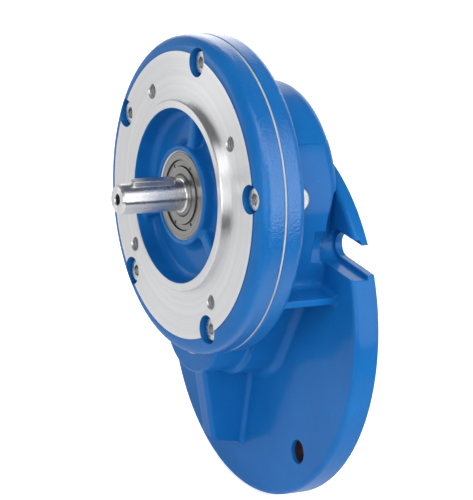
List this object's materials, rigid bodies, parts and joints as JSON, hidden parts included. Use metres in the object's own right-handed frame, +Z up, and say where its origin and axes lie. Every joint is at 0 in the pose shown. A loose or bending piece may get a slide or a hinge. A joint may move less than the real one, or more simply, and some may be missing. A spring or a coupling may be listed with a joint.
{
  "type": "reduction gearbox",
  "caption": "In-line helical reduction gearbox with a round spigoted output face, keyed output shaft and a larger offset motor flange behind.",
  "frame": {"origin": "centre of the machined output face, on the output shaft's axis", "axes": "+Y from the output face towards the motor, +Z up from the input axis towards the output axis, +X to the right seen from the output end"},
  "size_m": [0.14, 0.0745, 0.1765],
  "materials": {
    "blue_paint": "semi-gloss blue enamel over die-cast aluminium, bare turned metal on the mounting faces",
    "gasket_paper": "pale grey fibre sheet",
    "zinc_steel": "bright zinc plate",
    "ground_steel": "ground",
    "key_steel": "drawn bar, plain",
    "gear_steel": "hobbed and hardened",
    "bearing_steel": "ground bearing steel",
    "cage_steel": "pressed steel, oily",
    "spring_steel": "phosphated spring steel",
    "seal_rubber": "moulded nitrile",
    "washer_aluminium": "soft annealed"
  },
  "bodies": {
    "housing": {"housing": "blue_paint", "output_cover": "blue_paint", "cover_gasket": "gasket_paper", "cover_screws": "zinc_steel", "cover_dowel_pins": "ground_steel", "oil_plug": "zinc_steel", "oil_plug_washer": "washer_aluminium", "output_oil_seal": "seal_rubber", "input_oil_seal": "seal_rubber", "output_shim_washer": "key_steel", "input_bearing_circlip": "spring_steel", "output_front_bearing_outer_race": "bearing_steel", "output_rear_bearing_outer_race": "bearing_steel", "input_front_bearing_outer_race": "bearing_steel", "input_rear_bearing_outer_race": "bearing_steel"},
    "output_shaft": {"output_shaft": "ground_steel", "output_shaft_key": "key_steel", "output_gear": "gear_steel", "output_gear_key": "key_steel", "output_spacer_sleeve": "ground_steel", "output_front_bearing_inner_race": "bearing_steel", "output_rear_bearing_inner_race": "bearing_steel"},
    "input_shaft": {"input_pinion_shaft": "gear_steel", "input_shaft_circlip": "spring_steel", "input_front_bearing_inner_race": "bearing_steel", "input_rear_bearing_inner_race": "bearing_steel"},
    "output_front_bearing_cage": {"output_front_bearing_cage": "cage_steel", "output_front_bearing_balls": "bearing_steel"},
    "output_rear_bearing_cage": {"output_rear_bearing_cage": "cage_steel", "output_rear_bearing_balls": "bearing_steel"},
    "input_front_bearing_cage": {"input_front_bearing_cage": "cage_steel", "input_front_bearing_balls": "bearing_steel"},
    "input_rear_bearing_cage": {"input_rear_bearing_cage": "cage_steel", "input_rear_bearing_balls": "bearing_steel"}
  },
  "joints": [
    {"name": "output_spin", "type": "hinge", "parent": "housing", "child": "output_shaft", "pos_m": [0, 0, 0], "axis": [0, -1, 0], "continuous": true},
    {"name": "input_spin", "type": "hinge", "parent": "housing", "child": "input_shaft", "pos_m": [0, 0, -0.048], "axis": [0, -1, 0], "continuous": true},
    {"name": "output_front_cage_spin", "type": "hinge", "parent": "housing", "child": "output_front_bearing_cage", "pos_m": [0, 0, 0], "axis": [0, -1, 0], "continuous": true},
    {"name": "output_rear_cage_spin", "type": "hinge", "parent": "housing", "child": "output_rear_bearing_cage", "pos_m": [0, 0, 0], "axis": [0, -1, 0], "continuous": true},
    {"name": "input_front_cage_spin", "type": "hinge", "parent": "housing", "child": "input_front_bearing_cage", "pos_m": [0, 0, -0.048], "axis": [0, -1, 0], "continuous": true},
    {"name": "input_rear_cage_spin", "type": "hinge", "parent": "housing", "child": "input_rear_bearing_cage", "pos_m": [0, 0, -0.048], "axis": [0, -1, 0], "continuous": true}
  ],
  "couplings": [
    {"joint": "input_spin", "follows": "output_spin", "ratio": -3},
    {"joint": "output_front_cage_spin", "follows": "output_spin", "ratio": 0.39868},
    {"joint": "output_rear_cage_spin", "follows": "output_spin", "ratio": 0.4186},
    {"joint": "input_front_cage_spin", "follows": "output_spin", "ratio": -1.2981},
    {"joint": "input_rear_cage_spin", "follows": "output_spin", "ratio": -1.2981}
  ]
}
